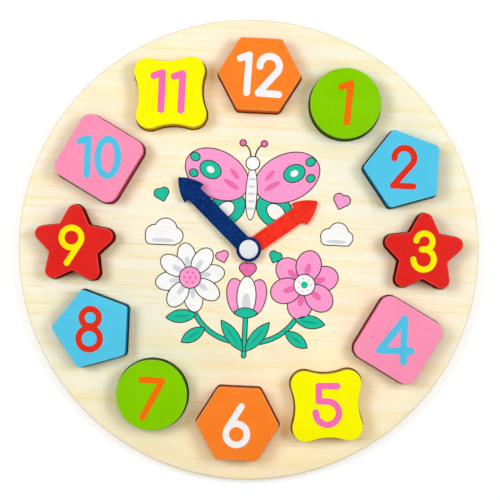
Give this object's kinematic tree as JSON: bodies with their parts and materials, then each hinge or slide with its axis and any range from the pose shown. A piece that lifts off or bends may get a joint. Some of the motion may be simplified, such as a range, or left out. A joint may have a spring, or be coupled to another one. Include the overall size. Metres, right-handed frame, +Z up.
{
  "type": "wooden clock puzzle",
  "caption": "Round wooden teaching clock lying flat: a dial board with shaped recesses, loose painted number blocks that lift out, and two plastic hands on a rivet.",
  "frame": {"origin": "middle of the flat underside of the back board, on the axis of the rivet that the hands turn on", "axes": "+Z up out of the dial, +Y toward 12 o'clock, +X toward 3 o'clock"},
  "size_m": [0.225, 0.225, 0.018],
  "materials": {
    "back_wood": "bare sanded plywood",
    "dial_wood": "pale pine veneer, clear satin",
    "orange_paint": "satin paint on solid wood",
    "green_paint": "satin paint on solid wood",
    "blue_paint": "satin paint on solid wood",
    "red_paint": "satin paint on solid wood",
    "pink_paint": "satin paint on solid wood",
    "yellow_paint": "satin paint on solid wood",
    "navy_plastic": "moulded, faintly mottled",
    "red_plastic": "moulded, satin",
    "white_plastic": "moulded, satin gloss"
  },
  "bodies": {
    "board": {"back_board": "back_wood", "dial_board": "dial_wood", "rivet_socket": "white_plastic", "rivet_pin": "white_plastic", "spacer_washer": "white_plastic"},
    "number_1": {"block_1_circle": "green_paint"},
    "number_2": {"block_2_pentagon": "blue_paint"},
    "number_3": {"block_3_star": "red_paint"},
    "number_4": {"block_4_square": "pink_paint"},
    "number_5": {"block_5_wave": "yellow_paint"},
    "number_6": {"block_6_hexagon": "orange_paint"},
    "number_7": {"block_7_circle": "green_paint"},
    "number_8": {"block_8_pentagon": "blue_paint"},
    "number_9": {"block_9_star": "red_paint"},
    "number_10": {"block_10_square": "pink_paint"},
    "number_11": {"block_11_wave": "yellow_paint"},
    "number_12": {"block_12_hexagon": "orange_paint"},
    "hour_hand": {"hour_hand": "red_plastic"},
    "minute_hand": {"minute_hand": "navy_plastic"}
  },
  "joints": [
    {"name": "lift_1", "type": "slide", "parent": "board", "child": "number_1", "axis": [0, 0, 1], "range_m": [0, 0.02]},
    {"name": "lift_2", "type": "slide", "parent": "board", "child": "number_2", "axis": [0, 0, 1], "range_m": [0, 0.02]},
    {"name": "lift_3", "type": "slide", "parent": "board", "child": "number_3", "axis": [0, 0, 1], "range_m": [0, 0.02]},
    {"name": "lift_4", "type": "slide", "parent": "board", "child": "number_4", "axis": [0, 0, 1], "range_m": [0, 0.02]},
    {"name": "lift_5", "type": "slide", "parent": "board", "child": "number_5", "axis": [0, 0, 1], "range_m": [0, 0.02]},
    {"name": "lift_6", "type": "slide", "parent": "board", "child": "number_6", "axis": [0, 0, 1], "range_m": [0, 0.02]},
    {"name": "lift_7", "type": "slide", "parent": "board", "child": "number_7", "axis": [0, 0, 1], "range_m": [0, 0.02]},
    {"name": "lift_8", "type": "slide", "parent": "board", "child": "number_8", "axis": [0, 0, 1], "range_m": [0, 0.02]},
    {"name": "lift_9", "type": "slide", "parent": "board", "child": "number_9", "axis": [0, 0, 1], "range_m": [0, 0.02]},
    {"name": "lift_10", "type": "slide", "parent": "board", "child": "number_10", "axis": [0, 0, 1], "range_m": [0, 0.02]},
    {"name": "lift_11", "type": "slide", "parent": "board", "child": "number_11", "axis": [0, 0, 1], "range_m": [0, 0.02]},
    {"name": "lift_12", "type": "slide", "parent": "board", "child": "number_12", "axis": [0, 0, 1], "range_m": [0, 0.02]},
    {"name": "hour_turn", "type": "hinge", "parent": "board", "child": "hour_hand", "pos_m": [0, 0, 0.0097], "axis": [0, 0, 1], "continuous": true},
    {"name": "minute_turn", "type": "hinge", "parent": "board", "child": "minute_hand", "pos_m": [0, 0, 0.0118], "axis": [0, 0, 1], "continuous": true}
  ]
}
